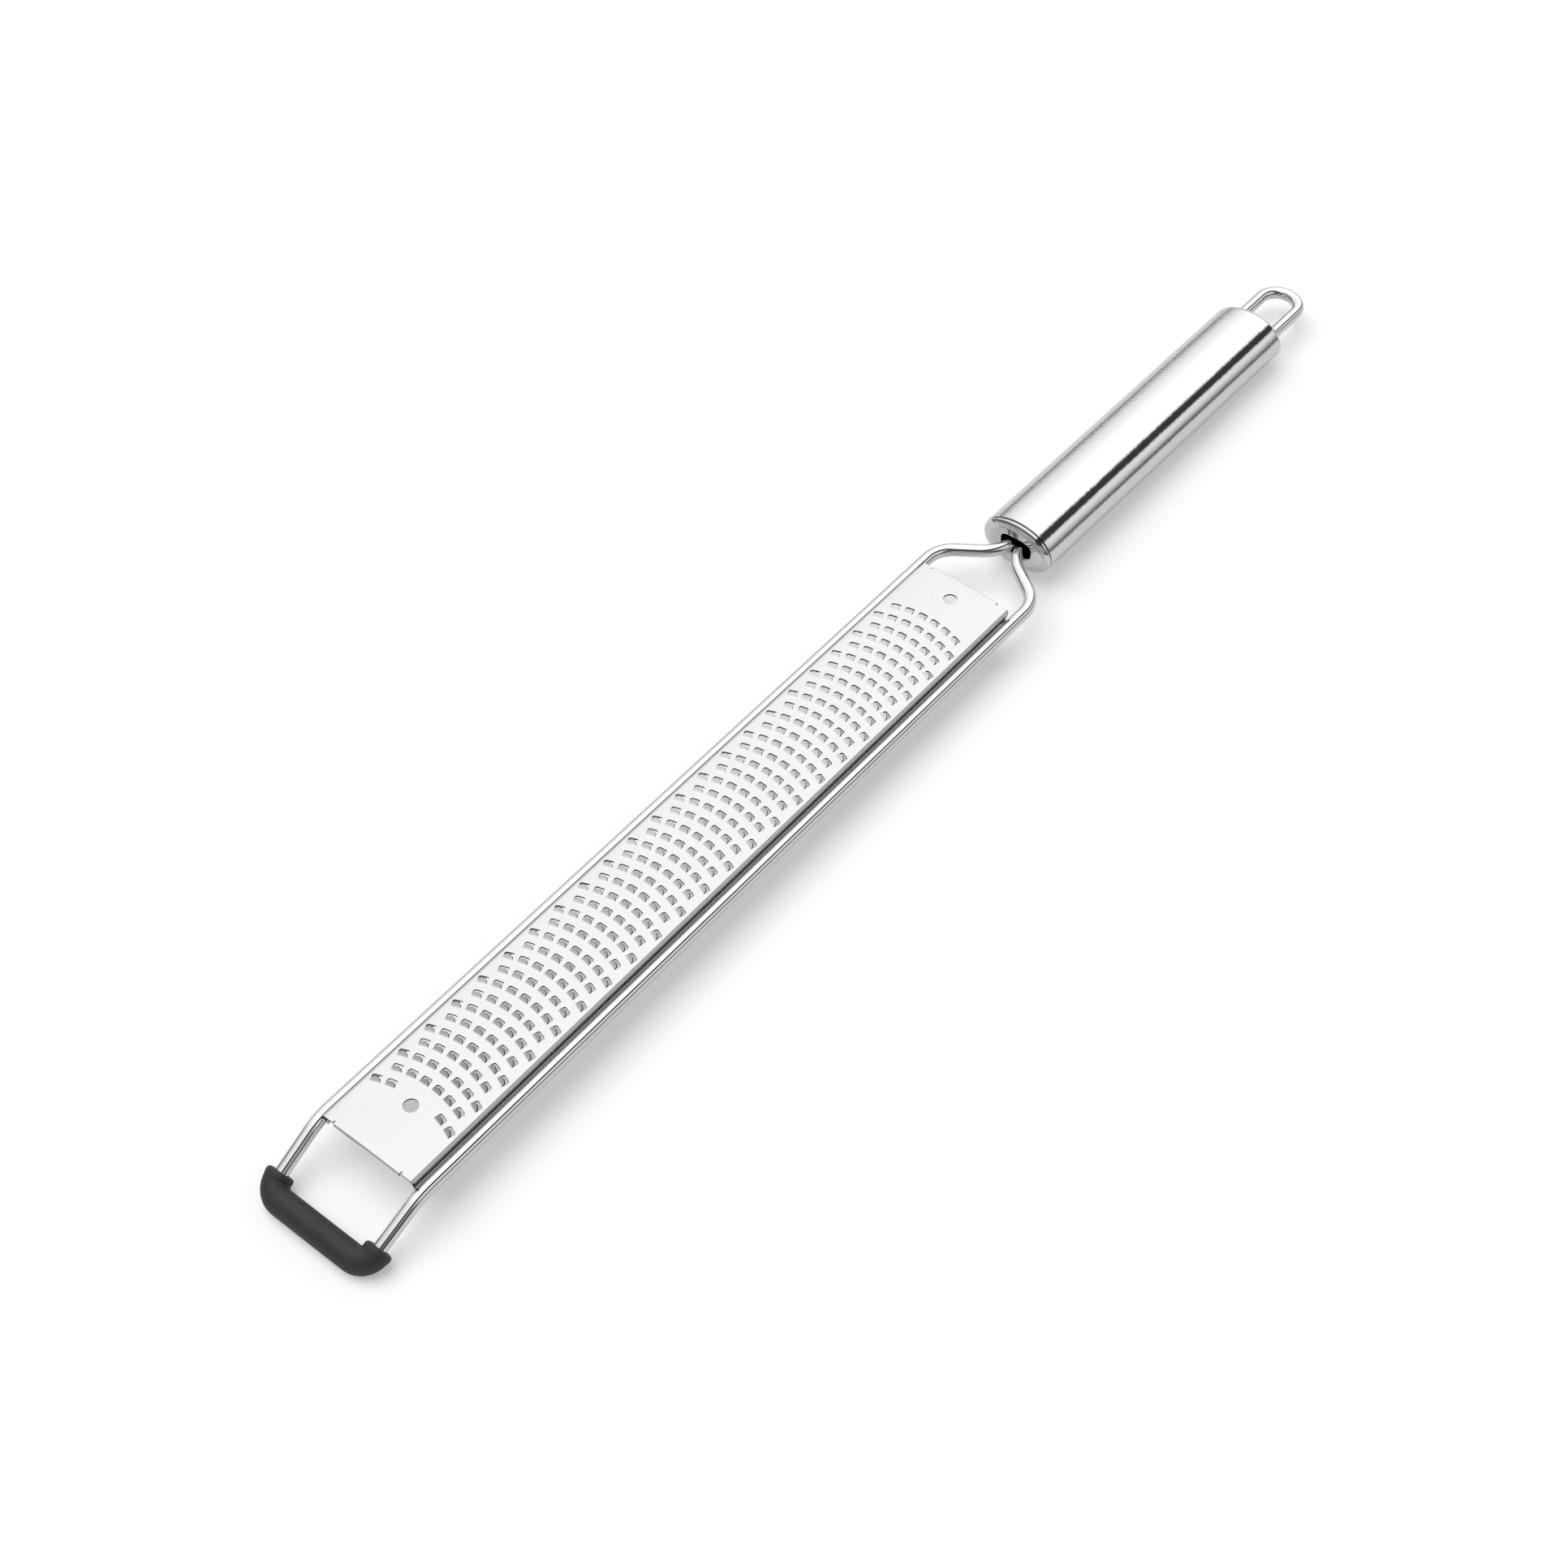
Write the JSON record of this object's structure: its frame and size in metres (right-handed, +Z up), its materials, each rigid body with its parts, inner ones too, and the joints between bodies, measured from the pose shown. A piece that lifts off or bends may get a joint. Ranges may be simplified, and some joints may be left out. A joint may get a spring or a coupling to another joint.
{
  "type": "rasp zester",
  "caption": "Long rasp zester: punched steel blade in a bent wire frame with a rubber foot, on an oval tube handle with a hanging loop.",
  "frame": {"origin": "on the table plane, under the middle of the tool's bounding box, the tool resting on its foot and the rear of its handle with its teeth up", "axes": "+Y from the foot along the blade to the handle's loop, +Z up out of the teeth, X across"},
  "size_m": [0.0382, 0.4028, 0.0178],
  "materials": {
    "punched_sheet": "satin rolled sheet",
    "polished_wire": "polished wire",
    "black_rubber": "matt moulded",
    "brushed_tube": "brushed round the girth",
    "polished_cap": "pressed and polished",
    "bare_steel": "as cut, hidden"
  },
  "bodies": {
    "root": {"grater_blade": "punched_sheet", "wire_frame": "polished_wire", "rubber_foot": "black_rubber", "handle_tube": "brushed_tube", "front_cap": "polished_cap", "rear_cap": "polished_cap", "hanging_loop": "polished_wire", "tail_plug": "bare_steel"}
  },
  "joints": []
}
